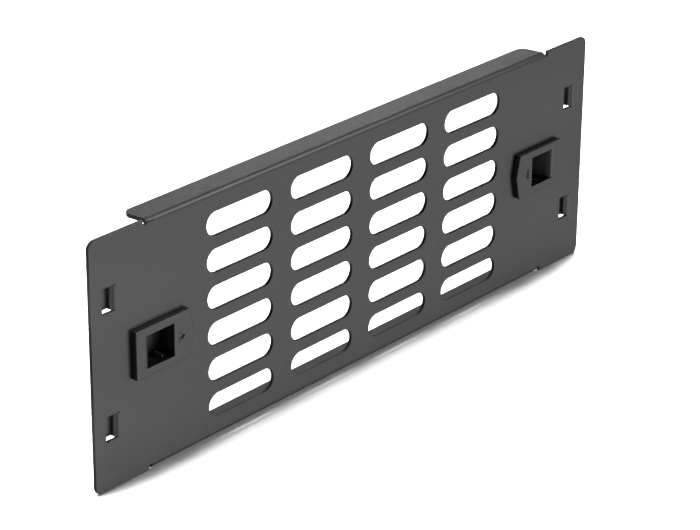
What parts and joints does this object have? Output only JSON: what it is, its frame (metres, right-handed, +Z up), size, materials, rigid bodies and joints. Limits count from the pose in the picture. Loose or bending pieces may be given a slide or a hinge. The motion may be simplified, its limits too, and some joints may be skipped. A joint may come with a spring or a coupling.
{
  "type": "rack blanking panel",
  "caption": "Ventilated steel blanking panel for a small rack, with folded flanges, lanced locating tabs and sprung slide latches that fit it without tools.",
  "frame": {"origin": "middle of the sheet's rear face, on the plane that lies against the rack's rails", "axes": "+X along the panel, to the right seen from the front; +Y into the rack; +Z up"},
  "size_m": [0.254, 0.0138, 0.0882],
  "materials": {
    "powder_coated_steel": "fine-textured dark grey powder coat",
    "latch_plastic": "finely grained moulded plastic",
    "slider_plastic": "finely grained moulded plastic",
    "spring_steel": "drawn wire"
  },
  "bodies": {
    "panel_body": {"panel": "powder_coated_steel", "left_latch_housing": "latch_plastic", "right_latch_housing": "latch_plastic", "left_latch_spring": "spring_steel", "right_latch_spring": "spring_steel"},
    "left_slider": {"left_latch_slider": "slider_plastic"},
    "right_slider": {"right_latch_slider": "slider_plastic"}
  },
  "joints": [
    {"name": "left_latch_slide", "type": "slide", "parent": "panel_body", "child": "left_slider", "axis": [1, 0, 0], "range_m": [0, 0.004], "stiffness_N_per_m": 150, "springref_m": -0.004, "deforming": ["left_latch_spring"]},
    {"name": "right_latch_slide", "type": "slide", "parent": "panel_body", "child": "right_slider", "axis": [-1, 0, 0], "range_m": [0, 0.004], "stiffness_N_per_m": 150, "springref_m": -0.004, "deforming": ["right_latch_spring"]}
  ]
}
